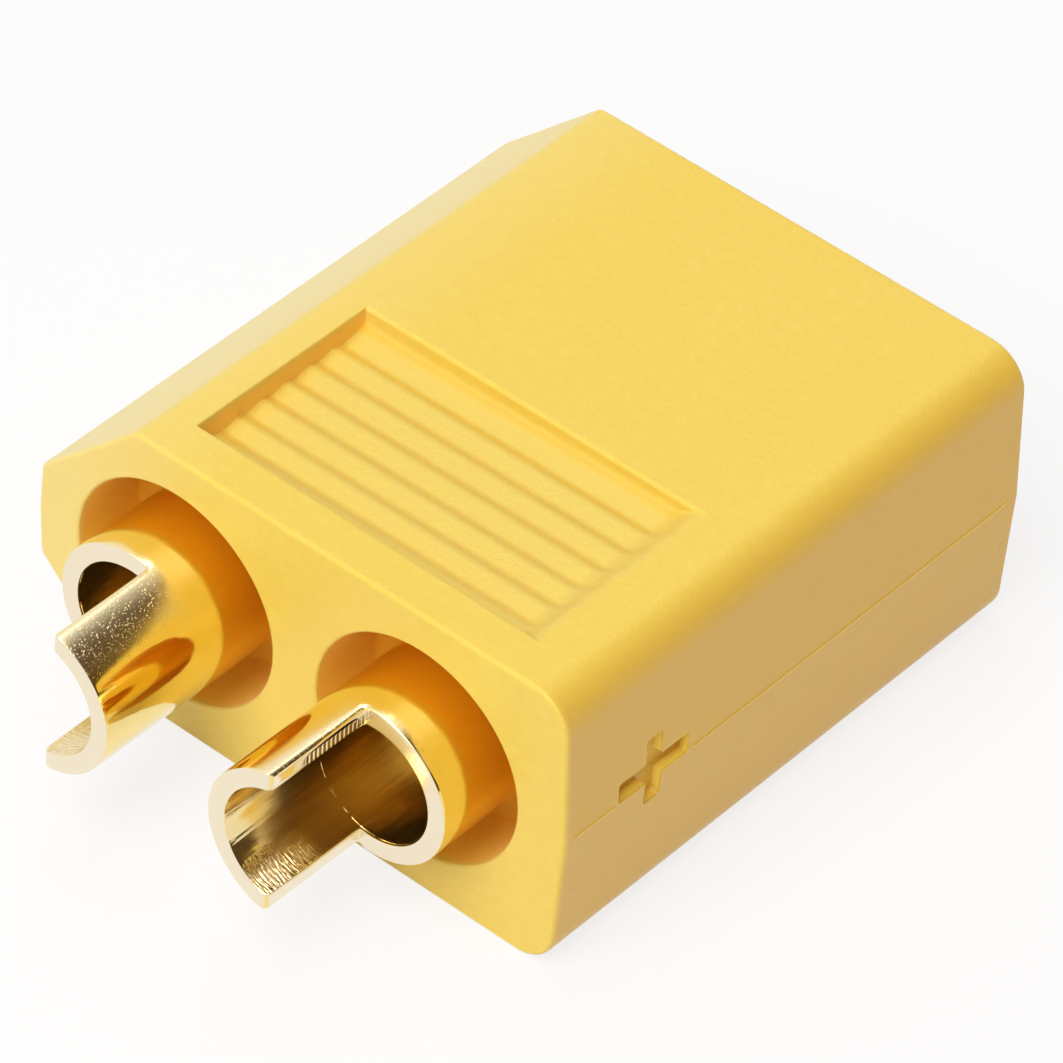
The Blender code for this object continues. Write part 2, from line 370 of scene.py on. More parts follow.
def pocket_insert(node):
    cup = CUP_RADIUS + FIT
    pin = PIN_RADIUS + FIT
    mouth = (POCKET_RADIUS + POCKET_MOUTH_ROUND, REAR + POCKET_MOUTH_ROUND)
    floor = (POCKET_RADIUS - POCKET_FLOOR_ROUND, POCKET_FLOOR - POCKET_FLOOR_ROUND)
    mouth_arc = list(arc(mouth, POCKET_MOUTH_ROUND, MOUTH_ARC_END, 180, 4))
    floor_arc = list(arc(floor, POCKET_FLOOR_ROUND, 0, 90, 4))
    points = [(0, REAR - OVERCUT), (mouth_arc[0][0], REAR - OVERCUT)]
    points += mouth_arc + floor_arc
    points += [(cup, POCKET_FLOOR), (cup, SHOULDER + FIT), (pin, SHOULDER + FIT)]
    points += [(pin, CAVITY_FLOOR + OVERCUT), (0, CAVITY_FLOOR + OVERCUT)]
    return keep("pocket_insert_" + node, spin_profile(points, AXES[node], POCKET_STEPS))


for node in CONTACT_NODES:
    carve(housing, pocket_insert(node))
print("pocket inserts placed:", len(housing.modifiers))

# %% Mating cavity
def cavity_insert():
    bm = bmesh.new()
    face = outline_face(bm, CAVITY_FLOOR, inset=RIM_WALL)
    pull_along_y(bm, [face], FRONT - LEAD_IN - CAVITY_FLOOR)
    round_edges(bm, long_edges(bm, *SQUARE_TURNS), CAVITY_RADIUS, segments=8)
    round_edges(bm, long_edges(bm, *KEY_TURNS), KEY_RADIUS, segments=5)
    mouth = [face for face in bm.faces if flat_at(face, "y", FRONT - LEAD_IN)]
    flare = LEAD_IN + OVERCUT
    verts = pull_along_y(bm, mouth, flare)
    middle = Vector((0, 0, MIDDLE))
    half = Vector((HALF_WIDTH - RIM_WALL, 0, MIDDLE - RIM_WALL))
    wider = Vector((1 + flare / half.x, 1, 1 + flare / half.z))
    bmesh.ops.scale(bm, vec=wider, verts=verts, space=Matrix.Translation(-middle))
    return keep("cavity_insert", bm)


carve(housing, cavity_insert())

# %% [markdown]
# ## Ridged grip panels
#
# Both broad faces have a shallow panel of seven cross ridges, for pulling the plug out of
# its mate. The section is a row of long slopes that rise to the front, each ending in a
# short slope down. The panel runs out softly on its flat-side end, because the cutter that
# made the mould was lifted there. So the section is built at short stations, and all its
# depths shrink together along half a cosine wave, which meets the surface without a crease.
# The crests lie a little deeper at the rear, and the last slope ends at the front wall. The
# rim is soft at the front wall and crisp at the rear and left walls.

# %% Grip panels
PANEL_LEFT = -HALF_WIDTH + KEY_ACROSS + 0.82 * MM
PANEL_RIGHT = HALF_WIDTH - 1.95 * MM
PANEL_START = REAR + 1.17 * MM
PANEL_DEPTH = 0.49 * MM
PANEL_DEPTH_RIGHT = 0.36 * MM
PANEL_TILT = 0.09 * MM
RAMP_LENGTH = 1.0 * MM
RAMP_STATIONS = 14
RAMP_OVERRUN = 0.004 * MM
RIDGES = 7
RIDGE_PITCH = 0.8 * MM
RIDGE_HEIGHT = 0.125 * MM
RIDGE_STEP = 0.28 * MM
FIRST_VALLEY = 0.5
CREST_SOFT = 0.1 * MM
VALLEY_SOFT = 0.09 * MM
FOOT_ROUND = 0.16 * MM
PANEL_LENGTH = RIDGES * RIDGE_PITCH
RIM_ROUND = 0.1 * MM
RIM_CRISP = 0.035 * MM
RIM_END = math.radians(86)
RIM_LEAST = 0.01
RIM_SHARES = (0.04, 0.28, 0.52, 0.76, 1.0)
WALL_DRAFT = 0.03 * MM


def soft_corner(before, corner, after, reach):
    """Three points that turn a corner of the section softly."""
    near = corner.lerp(before, reach / (corner - before).length)
    far = corner.lerp(after, reach / (corner - after).length)
    middle = (near + corner * 2 + far) / 4
    return [near, middle, far]


def ridge_section():
    """(y, depth below the crest line) from the rear wall to the front wall of a panel."""
    corners = []
    for index in range(RIDGES):
        foot = PANEL_START + index * RIDGE_PITCH
        valley = RIDGE_HEIGHT * (FIRST_VALLEY if index == 0 else 1)
        step = 0 if index == RIDGES - 1 else RIDGE_STEP
        corners.append(Vector((foot, valley)))
        corners.append(Vector((foot + RIDGE_PITCH - step, 0)))
    points = [corners[0]]
    for index in range(1, len(corners) - 1):
        reach = CREST_SOFT if index % 2 else VALLEY_SOFT
        points += soft_corner(corners[index - 1], corners[index], corners[index + 1], reach)
    centre = (corners[-1].x - FOOT_ROUND, -FOOT_ROUND)
    return points + [Vector(point) for point in arc(centre, FOOT_ROUND, 90, 0, 4)]


def rim_point(angle, radius):
    """How far out from the wall, and how deep, a rounded rim is at an angle."""
    return radius * (1 - math.cos(angle)), radius * (1 - math.sin(angle))


def panel_stations():
    """(x, crest depth, share of all depths, depth where flat) from the left rim to the run-out."""
    for share in reversed(RIM_SHARES):
        out, depth = rim_point(share * RIM_END, RIM_CRISP)
        yield PANEL_LEFT - out, PANEL_DEPTH, 0, depth
    yield PANEL_LEFT + WALL_DRAFT, PANEL_DEPTH, 1, None
    ramp_start = PANEL_RIGHT - RAMP_LENGTH
    for station in range(RAMP_STATIONS + 1):
        along = station / RAMP_STATIONS
        share = (1 + math.cos(math.pi * along)) / 2
        yield ramp_start + along * RAMP_LENGTH, PANEL_DEPTH_RIGHT, share, None


def wall_points(y, way, foot_depth, radius):
    """(y, depth) up a front or rear wall: its foot, outward round the rim, then above."""
    first = math.asin(1 - min(max(foot_depth / radius, RIM_LEAST), 1))
    yield y + way * rim_point(first, radius)[0], foot_depth
    for share in RIM_SHARES:
        out, depth = rim_point(first + (RIM_END - first) * share, radius)
        yield y + way * out, min(depth, foot_depth)
    yield y + way * radius, -OVERCUT


def panel_ring(bm, section, x, depth, share, flat_depth):
    floor = []
    for y, valley in section:
        tilt = PANEL_TILT * (1 - (y - PANEL_START) / PANEL_LENGTH)
        sunk = (depth + valley + tilt) * share - RAMP_OVERRUN
        floor.append((y, sunk if flat_depth is None else flat_depth))
    front = list(wall_points(floor[-1][0], 1, floor[-1][1], RIM_ROUND))
    rear = list(wall_points(floor[0][0], -1, floor[0][1], RIM_CRISP))
    outline = floor[1:-1] + front + rear[::-1]
    loop = [bm.verts.new((x, y, HEIGHT - sunk)) for y, sunk in outline]
    return [bm.edges.new((vert, loop[index - 1])) for index, vert in enumerate(loop)]


def panel_insert(name, underside):
    bm = bmesh.new()
    section = ridge_section()
    rings = [panel_ring(bm, section, *station) for station in panel_stations()]
    for ring, next_ring in zip(rings, rings[1:]):
        bmesh.ops.bridge_loops(bm, edges=ring + next_ring)
    bmesh.ops.contextual_create(bm, geom=rings[0])
    bmesh.ops.contextual_create(bm, geom=rings[-1])
    bmesh.ops.recalc_face_normals(bm, faces=bm.faces)
    if underside:
        flip = Matrix.Translation((0, 0, HEIGHT)) @ Matrix.Scale(-1, 4, (0, 0, 1))
        bmesh.ops.transform(bm, matrix=flip, verts=bm.verts)
    return keep(name, bm)


carve(housing, panel_insert("top_panel_insert", underside=False))
carve(housing, panel_insert("under_panel_insert", underside=True))
print("panel runs in mm from", round(PANEL_LEFT / MM, 2), "to", round(PANEL_RIGHT / MM, 2))

# %% [markdown]
# ## Sunk polarity signs and the parting line
#
# A sunk plus marks the flat side and a sunk minus the keyed side. In the mould each stroke
# is a small standing bar, so here each is a block with rounded edges, taken out of the
# housing. Where the two mould halves meet, a hair of plastic creeps into the joint. That
# flash is a thin bar along each side at mid-height, in two runs that leave the sign free.
# A Boolean union joins it to the housing.

# %% Parting line
SIGN_ALONG = 2.4 * MM
SIGN_Y = REAR + 3.02 * MM
FLASH_PROUD = 0.022 * MM
FLASH_HEIGHT = 0.05 * MM
FLASH_ROOT = 0.1 * MM
FLASH_END = 0.35 * MM
FLASH_GAP = 0.15 * MM


def side_block(side, depth, proud, start_y, end_y, middle_z, up):
    """A block across one narrow side, from a depth in it to a height above its widest line."""
    middle = Vector((side * (HALF_WIDTH + (proud - depth) / 2), (start_y + end_y) / 2, middle_z))
    return block(middle, Vector((depth + proud, end_y - start_y, up)))


def flash_runs():
    """The parting line from end to end, apart from where the sign takes its place."""
    sign_half = SIGN_ALONG / 2 + FLASH_GAP
    yield REAR + FLASH_END, SIGN_Y - sign_half
    yield SIGN_Y + sign_half, FRONT - FLASH_END


for side in (-1, 1):
    for start_y, end_y in flash_runs():
        run = side_block(side, FLASH_ROOT, FLASH_PROUD, start_y, end_y, MIDDLE, FLASH_HEIGHT)
        carve(housing, keep("flash_run", run), "UNION")
print("parting line added, housing steps so far:", len(housing.modifiers))

# %% Polarity signs
SIGN_UP = 1.95 * MM
SIGN_BAR = 0.58 * MM
SIGN_DEPTH = 0.34 * MM
SIGN_ROUND = 0.09 * MM
SIGN_FLOOR_ROUND = SIGN_ROUND * 0.6
SIGN_Z = MIDDLE + 0.26 * MM


def sign_bar(name, side, along, up, depth):
    bm = side_block(side, depth, OVERCUT, SIGN_Y - along / 2, SIGN_Y + along / 2, SIGN_Z, up)
    standing = [edge for edge in bm.edges if not flat_at(edge, "x", edge.verts[0].co.x)]
    round_edges(bm, standing, SIGN_ROUND, segments=4)
    floor_rim = [edge for edge in bm.edges if flat_at(edge, "x", side * (HALF_WIDTH - depth))]
    round_edges(bm, floor_rim, SIGN_FLOOR_ROUND, segments=3)
    return keep(name, bm)


# The upright stroke is a hair narrower and shallower, so that no two floors share a plane.
carve(housing, sign_bar("plus_along", 1, SIGN_ALONG, SIGN_BAR, SIGN_DEPTH))
carve(housing, sign_bar("plus_up", 1, SIGN_BAR * 0.97, SIGN_UP, SIGN_DEPTH * 0.99))
carve(housing, sign_bar("minus_along", -1, SIGN_ALONG, SIGN_BAR, SIGN_DEPTH))
print("signs cut, housing steps so far:", len(housing.modifiers))

# %% [markdown]
# ## Softening the moulded edges
#
# A mould has no truly sharp inner corner, so no moulded edge is sharp either. After the
# Booleans have run, the edges that are still sharp get a hair-thin round. Then the long
# flat faces are shaded by weighted normals: every vertex takes its normal mostly from the
# largest face beside it, which keeps flats flat and leaves the turning to the small rounds.

# %% Housing finish
MOULD_ROUND = 0.035 * MM
SHARP_ANGLE = math.radians(30)
FLAT_ANGLE = math.radians(0.2)
SHADED_SHARP = math.radians(40)

housing_bm = settle(housing)
bmesh.ops.remove_doubles(housing_bm, verts=housing_bm.verts, dist=SAME_PLACE)
bmesh.ops.dissolve_limit(
    housing_bm,
    angle_limit=FLAT_ANGLE,
    verts=housing_bm.verts,
    edges=housing_bm.edges,
)


def on_flash(edge):
    """True for the edges of the parting line, which is too thin to be rounded."""
    return all(
        abs(vert.co.z - MIDDLE) < FLASH_HEIGHT
        and abs(vert.co.x) > HALF_WIDTH - FLASH_PROUD
        and abs(vert.co.y - SIGN_Y) > SIGN_ALONG / 2 + HAIR
        for vert in edge.verts
    )


sharp = [edge for edge in sharp_edges(housing_bm, SHARP_ANGLE) if not on_flash(edge)]
bevel(housing_bm, sharp, MOULD_ROUND, segments=2)
print("housing edges softened:", len(sharp))


def finish_mesh(piece, bm, weighted):
    bmesh.ops.recalc_face_normals(bm, faces=bm.faces)
    print(piece.name, "open edges at the end:", count_open(bm))
    bm.to_mesh(piece.data)
    bm.free()
    piece.data.shade_smooth()
    piece.data.set_sharp_from_angle(angle=SHADED_SHARP)
    if weighted:
        step = piece.modifiers.new("weighted normals", "WEIGHTED_NORMAL")
        step.keep_sharp = True
    print(piece.name, "faces:", len(piece.data.polygons))


finish_mesh(housing, housing_bm, weighted=True)

# %% [markdown]
# ## Turned contacts with a milled notch
#
# Each contact is turned from brass bar: a drilled solder cup, a shank, a retaining barb and
# a split pin. A little more than half of the cup's end is milled away, so that the wire can
# be laid in. The lathe profile makes the round part, and its long lines have a point on the
# way that keeps the subdivision even. The tongue that stays is a run of the mouth's own
# faces pulled back, and the vertices along its two sides are set on the milling plane.
# Forty-four steps put them almost on that plane by themselves. The tongue's tip corners and
# its outer long edges are rounded, as tumbling leaves them. One contact was pressed in
# turned by a few degrees, as in the photograph.

# %% Contacts
TURN_STEPS = 44
TONGUE_FACES = 20
CUP_BORE = 1.625 * MM
CUP_BORE_DEPTH = 4.2 * MM
CUP_RIM = TONGUE_END + 3.02 * MM
MILL_OFFSET = 0.3 * MM
MILL_REACH = MILL_OFFSET * 1.2
PIN_TIP_ROUND = 0.9 * MM
PIN_BORE = 0.75 * MM
PIN_BORE_DEPTH = 6.6 * MM
BARB_RADIUS = 1.95 * MM
BARB_FRONT = CAVITY_FLOOR - 0.8 * MM
BARB_LENGTH = 0.7 * MM
DRILL_RISE = 0.6
SLIT_WIDTH = 0.45 * MM
SLIT_DEPTH = 6.2 * MM
TIP_CORNER = 0.17 * MM
METAL_ROUND = 0.06 * MM
CRISP_ANGLE = math.radians(35)
SMOOTH_LEVELS = 2
PRESSED_TURN = {"contact_negative": math.radians(3.5), "contact_positive": 0.0}


def contact_profile():
    """(radius, y) from the bottom of the cup's bore, round the outside, to the pin's bore."""
    bore_end = CUP_RIM + CUP_BORE_DEPTH
    pin_bore_end = PIN_TIP - PIN_BORE_DEPTH
    points = [
        (0, bore_end + CUP_BORE * DRILL_RISE),
        (CUP_BORE * 0.5, bore_end + CUP_BORE * DRILL_RISE * 0.5),
        (CUP_BORE, bore_end),
        (CUP_BORE, bore_end - CUP_BORE_DEPTH * 0.5),
        (CUP_BORE, CUP_RIM),
        (CUP_RADIUS, CUP_RIM),
        (CUP_RADIUS, CUP_RIM + 1 * MM),
        (CUP_RADIUS, SHOULDER),
        (PIN_RADIUS, SHOULDER),
        (PIN_RADIUS, BARB_FRONT - BARB_LENGTH),
        (BARB_RADIUS, BARB_FRONT - BARB_LENGTH),
        (PIN_RADIUS, BARB_FRONT),
    ]
    tip_centre = (PIN_RADIUS - PIN_TIP_ROUND, PIN_TIP - PIN_TIP_ROUND)
    points += list(arc(tip_centre, PIN_TIP_ROUND, 0, 90, 6))
    points += [(PIN_BORE, PIN_TIP), (PIN_BORE, pin_bore_end), (0, pin_bore_end - PIN_BORE * DRILL_RISE)]
    return points


def pull_tongue(bm, centre_x, way):
    """Pull one side of the mouth back as a tongue and mill it. Gives the edges to round."""
    mouth = [face for face in bm.faces if flat_at(face, "y", CUP_RIM)]
    mouth.sort(key=lambda face: -(face.calc_center_median().x - centre_x) * way)
    pull_along_y(bm, mouth[:TONGUE_FACES], TONGUE_END - CUP_RIM)
    sides = set()
    outer = []
    for edge in bm.edges:
        ends = sorted(vert.co.y for vert in edge.verts)
        spans = abs(ends[0] - TONGUE_END) < SAME_PLACE and abs(ends[1] - CUP_RIM) < SAME_PLACE
        if spans and abs(edge.verts[0].co.x - centre_x) < MILL_REACH:
            sides.update(edge.verts)
            if abs(edge.verts[0].co.z - MIDDLE) > CUP_BORE:
                outer.append(edge)
    for vert in sides:
        radius = math.hypot(vert.co.x - centre_x, vert.co.z - MIDDLE)
        height = math.sqrt(radius ** 2 - MILL_OFFSET ** 2)
        vert.co.x = centre_x + way * MILL_OFFSET
        vert.co.z = MIDDLE + math.copysign(height, vert.co.z - MIDDLE)
    corners = [
        edge for edge in bm.edges
        if flat_at(edge, "y", TONGUE_END) and all(vert in sides for vert in edge.verts)
    ]
    print("milled vertices:", len(sides), "tip corners:", len(corners), "outer edges:", len(outer))
    return corners + outer


def slit_block(name, centre_x, upright):
    reach = 2 * PIN_RADIUS + OVERCUT
    size = Vector((SLIT_WIDTH, SLIT_DEPTH + OVERCUT, reach))
    if not upright:
        size = Vector((reach, SLIT_DEPTH + OVERCUT, SLIT_WIDTH))
    middle = Vector((centre_x, PIN_TIP + (OVERCUT - SLIT_DEPTH) / 2, MIDDLE))
    return keep(name, block(middle, size))


def make_contact(node):
    centre_x = AXES[node]
    open_way = math.copysign(1, centre_x)
    tongue_way = -open_way
    bm = spin_profile(contact_profile(), centre_x, TURN_STEPS, start=Vector((tongue_way, 0, 0)))
    bmesh.ops.recalc_face_normals(bm, faces=bm.faces)
    bevel(bm, pull_tongue(bm, centre_x, tongue_way), TIP_CORNER, segments=3)
    bevel(bm, sharp_edges(bm, CRISP_ANGLE), METAL_ROUND, segments=2)
    piece = keep(node + "_gold", bm)
    smooth = piece.modifiers.new("smooth", "SUBSURF")
    smooth.levels = SMOOTH_LEVELS
    smooth.render_levels = SMOOTH_LEVELS
    carve(piece, slit_block("slit_upright_" + node, centre_x, True))
    carve(piece, slit_block("slit_level_" + node, centre_x, False))
    shaped = settle(piece)
    turn = Matrix.Rotation(PRESSED_TURN[node], 3, "Y")
    bmesh.ops.rotate(shaped, verts=shaped.verts, cent=(centre_x, 0, MIDDLE), matrix=turn)
    finish_mesh(piece, shaped, weighted=False)
    return piece


contacts = {node: make_contact(node) for node in CONTACT_NODES}

# %% [markdown]
# ## Shader maths that reads like maths
#
# `Wire` wraps one output socket. Its operators add Math nodes, so `1 - mask` and `a * b`
# build the node tree while they read like the formula. Four of its methods turn a place
# into a mask between 0 and 1: `ramp`, `above`, `below` and `within`. `Bench` holds the node
# tree of one material or of the world, and its `node` method adds any other node from a
# type, its settings and its inputs.

# %% Wire and Bench
class Wire:
    def __init__(self, bench, socket):
        self.bench = bench
        self.socket = socket

    def _math(self, operation, other=None, swap=False, clamp=False):
        values = [self] if other is None else [self, other]
        if swap:
            values.reverse()
        settings = {"operation": operation, "use_clamp": clamp}
        return self.bench.node("ShaderNodeMath", settings, dict(enumerate(values)))

    def __add__(self, other):
        return self._math("ADD", other)

    __radd__ = __add__

    def __sub__(self, other):
        return self._math("SUBTRACT", other)

    def __rsub__(self, other):
        return self._math("SUBTRACT", other, swap=True)

    def __mul__(self, other):
        return self._math("MULTIPLY", other)

    __rmul__ = __mul__

    def __abs__(self):
        return self._math("ABSOLUTE")

    def most(self, other):
        return self._math("MAXIMUM", other)

    def sine(self):
        return self._math("SINE")

    def root(self):
        return self._math("SQRT")

    def clamp(self):
        return self._math("ADD", 0.0, clamp=True)

    def ramp(self, start, end):
        """0 at the start, 1 at the end, straight between. The end may be the lower one."""
        return ((self - start) * (1 / (end - start))).clamp()

    def above(self, edge, soft):
        """0 up to an edge, 1 from a soft step above it."""
        return self.ramp(edge, edge + soft)

    def below(self, edge, soft):
        """0 down to an edge, 1 from a soft step below it."""
        return self.ramp(edge, edge - soft)

    def within(self, reach, soft):
        """1 near zero, either way, and 0 from the reach on."""
        return abs(self).below(reach, soft)


class Bench:
    def __init__(self, owner):
        owner.use_nodes = True
        self.material = owner
        self.tree = owner.node_tree
        self.shader = self.tree.nodes.get("Principled BSDF")

    def node(self, kind, settings=None, inputs=None, output=0):
        made = self.tree.nodes.new(kind)
        for key, value in (settings or {}).items():
            setattr(made, key, value)
        self.feed(made, inputs or {})
        return Wire(self, made.outputs[output])

    def feed(self, target, inputs):
        for key, value in inputs.items():
            if isinstance(value, Wire):
                self.tree.links.new(value.socket, target.inputs[key])
            else:
                target.inputs[key].default_value = value

    def place(self):
        return self.node("ShaderNodeTexCoord", output="Object")

    def axis(self, letter):
        return self.node("ShaderNodeSeparateXYZ", None, {0: self.place()}, output=letter)

    def noise(self, size, detail=2.0, roughness=0.5, vector=None):
        inputs = {
            "Vector": vector or self.place(),
            "Scale": 1 / size,
            "Detail": detail,
            "Roughness": roughness,
        }
        return self.node("ShaderNodeTexNoise", None, inputs, output=0)

    def mix(self, factor, first, second):
        settings = {"data_type": "RGBA"}
        return self.node("ShaderNodeMix", settings, {0: factor, 6: first, 7: second}, output=2)

    def bump(self, height, distance, strength=1.0, normal=None):
        inputs = {"Strength": strength, "Distance": distance, "Height": height}
        if normal:
            inputs["Normal"] = normal
        return self.node("ShaderNodeBump", None, inputs)


# %% [markdown]
# ## Moulded nylon
#
# The plastic is a strong yellow, slightly see-through, with a spark-eroded texture: a grain
# of a tenth of a millimetre, a mottle of three tenths, and a slow unevenness over some
# millimetres. Each hollow gets a deeper tint of painted shade, which stands in for light that
# bounces from yellow to yellow and deepens: the pockets, and the ridge feet and the left wall
# of a panel. The whole panel floor is painted a little darker too, so that its slopes, which
# face the key lamp, don't read brighter than the top. The keyed side is painted paler, a
# painted sheen for its glancing reflection, and the flat side is painted deeper, a painted
# shade where less light falls. The signs and the crest of the parting line get a painted
# highlight. Every mask is made from places in the part, the same ones that shaped it.
# Subsurface scattering is a constant, set straight on the shader.

# %% Nylon tints
NYLON = (0.865, 0.625, 0.085, 1.0)
NYLON_PALE = (0.885, 0.655, 0.100, 1.0)
# Painted light, laid one over another in this order, each where its zone is.
NYLON_TINTS = {
    # Painted sheen: the keyed side paler, for its glancing reflection.
    "sheen side": (0.89, 0.70, 0.20, 1.0),
    # Painted shade: the flat side deeper and redder, where less light falls.
    "shaded flat side": (0.82, 0.53, 0.060, 1.0),
    # Painted highlight: the sunk signs and the crest of the parting line.
    "highlighted marks": (0.99, 0.76, 0.13, 1.0),
    # Painted shade: the whole panel floor darker, so that its slopes, which face the key lamp, don't
    # read brighter than the top.
    "panel": (0.80, 0.595, 0.100, 1.0),
    # Painted shade: the foot of each ridge and the run-out, a deeper orange.
    "valley_shade": (0.84, 0.54, 0.050, 1.0),
    # Painted shade: the panel's left wall, deep orange as light bouncing in a hollow would make it.
    "shaded panel wall": (0.98, 0.57, 0.060, 1.0),
    # Painted shade: the pockets, deep orange as light bouncing from yellow to yellow would make them.
    "pockets": (1.0, 0.54, 0.030, 1.0),
}
GRAIN_SIZE = 0.10 * MM
MOTTLE_SIZE = 0.3 * MM
SLOW_SIZE = 3.5 * MM
MOTTLE_WEIGHT = 2
PALE_START = 1.35
PALE_GAIN = 1.2
NYLON_ROUGHNESS = 0.30
POCKET_ROUGHNESS = 0.45
print("nylon zones with a tint of their own:", len(NYLON_TINTS))

# %% Nylon zones
AXES_MIDDLE = sum(AXES.values()) / 2
AXES_HALF = abs(AXES["contact_positive"] - AXES_MIDDLE)
# The painted sheen on the keyed side grows between these two places across.
SHEEN_FROM = -2.5 * MM
SHEEN_TO = -7.0 * MM
# The painted shade on the flat side grows between these two places across.
FLAT_SHADE_FROM = HALF_WIDTH - 1.0 * MM
FLAT_SHADE_TO = HALF_WIDTH - 0.3 * MM
# The share of the painted highlight on the parting line.
LINE_HIGHLIGHT_SHARE = 0.45
PANEL_DEEPEST = 1 * MM
VALLEY_MIDDLE = -0.1 * MM
# The shares of the painted shade at the ridge feet and over the run-out.
VALLEY_SHADE_SHARE = 0.8
RUN_OUT_SHADE = 0.6


def contact_polar(bench):
    """Distance from the nearer contact axis, and the coordinates that it comes from."""
    x, y, z = (bench.axis(letter) for letter in "XYZ")
    across = abs(x - AXES_MIDDLE) - AXES_HALF
    upward = z - MIDDLE
    radius = (across * across + upward * upward).root()
    return radius, across, y, z


def marks_highlight(x, y, z):
    """Where a painted highlight goes: the sunk signs, and at a smaller share the crest of the parting
    line.
    """
    from_middle = abs(z - MIDDLE)
    side_depth = HALF_WIDTH - from_middle * math.tan(SIDE_DRAFT) - abs(x)
    sign = side_depth.above(0.03 * MM, HAIR) * side_depth.below(SIGN_DEPTH - 0.06 * MM, 0.06 * MM)
    sign = sign * (y - SIGN_Y).within(SIGN_ALONG / 2 + HAIR, HAIR)
    sign = sign * (z - SIGN_Z).within(SIGN_UP / 2 + HAIR, HAIR)
    line = from_middle.below(FLASH_HEIGHT * 0.6, 0.01 * MM) * abs(x).above(HALF_WIDTH, FLASH_PROUD / 3)
    return sign.most(line * LINE_HIGHLIGHT_SHARE)


def panel_zones(x, y, z):
    """Masks for painted shade: the whole panel below its rims, then the foot of each ridge with the
    run-out, then its left wall.
    """
    depth = MIDDLE - abs(z - MIDDLE)
    sunk = depth.above(HAIR, 0.2 * MM) * depth.below(PANEL_DEEPEST, TENTH)
    sunk = sunk * y.above(PANEL_START, TENTH) * y.below(PANEL_START + PANEL_LENGTH, TENTH)
    panel = x.above(PANEL_LEFT - 0.03 * MM, 0.03 * MM) * sunk * x.below(PANEL_RIGHT, 0.3 * MM)
    ridge_turn = (y - PANEL_START - VALLEY_MIDDLE) * (math.tau / RIDGE_PITCH) + math.pi / 2
    run_out = x.above(PANEL_RIGHT - RAMP_LENGTH, RAMP_LENGTH / 2) * RUN_OUT_SHADE
    valley_shade = ridge_turn.sine().ramp(0.1, 0.9).most(run_out) * panel * VALLEY_SHADE_SHARE
    # Painted shade on the panel's left wall.
    wall = panel * x.below(PANEL_LEFT + HAIR, 0.02 * MM)
    return panel, valley_shade, wall


def nylon_zones(bench):
    """Named masks for painted sheen, shade and highlight, each 1 where a zone of the housing is and 0
    elsewhere.
    """
    x = bench.axis("X")
    radius, _, y, z = contact_polar(bench)
    # The pockets take painted shade in their tint and a rougher finish.
    in_pocket = radius.below(POCKET_RADIUS + 0.06 * MM, HAIR) * y.above(REAR, 0.25 * MM)
    panel, valley_shade, wall = panel_zones(x, y, z)
    return {
        "sheen side": x.ramp(SHEEN_FROM, SHEEN_TO),
        "shaded flat side": x.ramp(FLAT_SHADE_FROM, FLAT_SHADE_TO) * y.above(REAR + HAIR, 0.15 * MM),
        "highlighted marks": marks_highlight(x, y, z),
        "panel": panel,
        "valley_shade": valley_shade,
        "shaded panel wall": wall,
        "pockets": in_pocket * y.below(SHOULDER, 0.5 * MM),
    }


# %% Nylon
def make_nylon():
    bench = Bench(bpy.data.materials.new("moulded nylon"))
    zones = nylon_zones(bench)
    grain = bench.noise(GRAIN_SIZE, detail=2.0, roughness=0.6)
    slow = bench.noise(SLOW_SIZE, detail=1.0)
    mottle = bench.noise(MOTTLE_SIZE, detail=2.0)
    pale = (slow + mottle * MOTTLE_WEIGHT - PALE_START) * PALE_GAIN
    colour = bench.mix(pale, NYLON, NYLON_PALE)
    # Every tint laid here is painted light: one painted sheen, five painted shades and one painted
    # highlight.
    for zone, tint in NYLON_TINTS.items():
        colour = bench.mix(zones[zone], colour, tint)
    relief = bench.bump(slow, 0.02 * MM, 0.6)
    relief = bench.bump(mottle, 0.022 * MM, 0.6, normal=relief)
    skin = bench.bump(grain, 0.015 * MM, 0.9, normal=relief)
    bench.feed(bench.shader, {
        "Base Color": colour,
        "Roughness": NYLON_ROUGHNESS + 0.14 * grain + POCKET_ROUGHNESS * zones["pockets"],
        "Normal": skin,
    })
    bench.feed(bench.shader, {
        "IOR": 1.53,
        "Specular IOR Level": 0.4,
        "Subsurface Weight": 0.2,
        "Subsurface Radius": (1.0, 0.6, 0.25),
        "Subsurface Scale": 0.35 * MM,
        "Sheen Weight": 0.14,
        "Sheen Roughness": 0.5,
    })
    return bench.material


nylon = make_nylon()
housing.data.materials.clear()
housing.data.materials.append(nylon)
print("nylon nodes:", len(nylon.node_tree.nodes))

# %% [markdown]
# ## Gold plating
#
# Plating is thin, so it keeps every mark of the brass below it. The turned outside is
# bright. The upper side of an open tongue is finely pitted by handling, and its pale tint
# there is a painted highlight where it mirrors the bright sky. The bore is duller, its
# browner tint is painted shade, and the tongue's end is scored on its inside. The end faces
# and the milled ones, where the cutter left short lines across, get a painted pale
# highlight, and the inside of the tip and every face turned down get a painted pale
# reflection of the white table. One fine ring shows in the bore at the depth where the
# milling stopped. A metal has no colour of its own apart from its reflections, so the base
# colour is the tint that a reflection takes.

# %% Gold
GOLD = (0.93, 0.745, 0.30, 1.0)
GOLD_DEEP = (0.90, 0.68, 0.20, 1.0)
# The pale tint of painted highlight and painted reflection, for faces that catch the lamps and faces
# that mirror the white table.
GOLD_HIGHLIGHT_PALE = (0.91, 0.80, 0.60, 1.0)
GOLD_ROUGHNESS = 0.04
# The share of the painted highlight on the tongue's upper side.
TOP_HIGHLIGHT_SHARE = 0.6
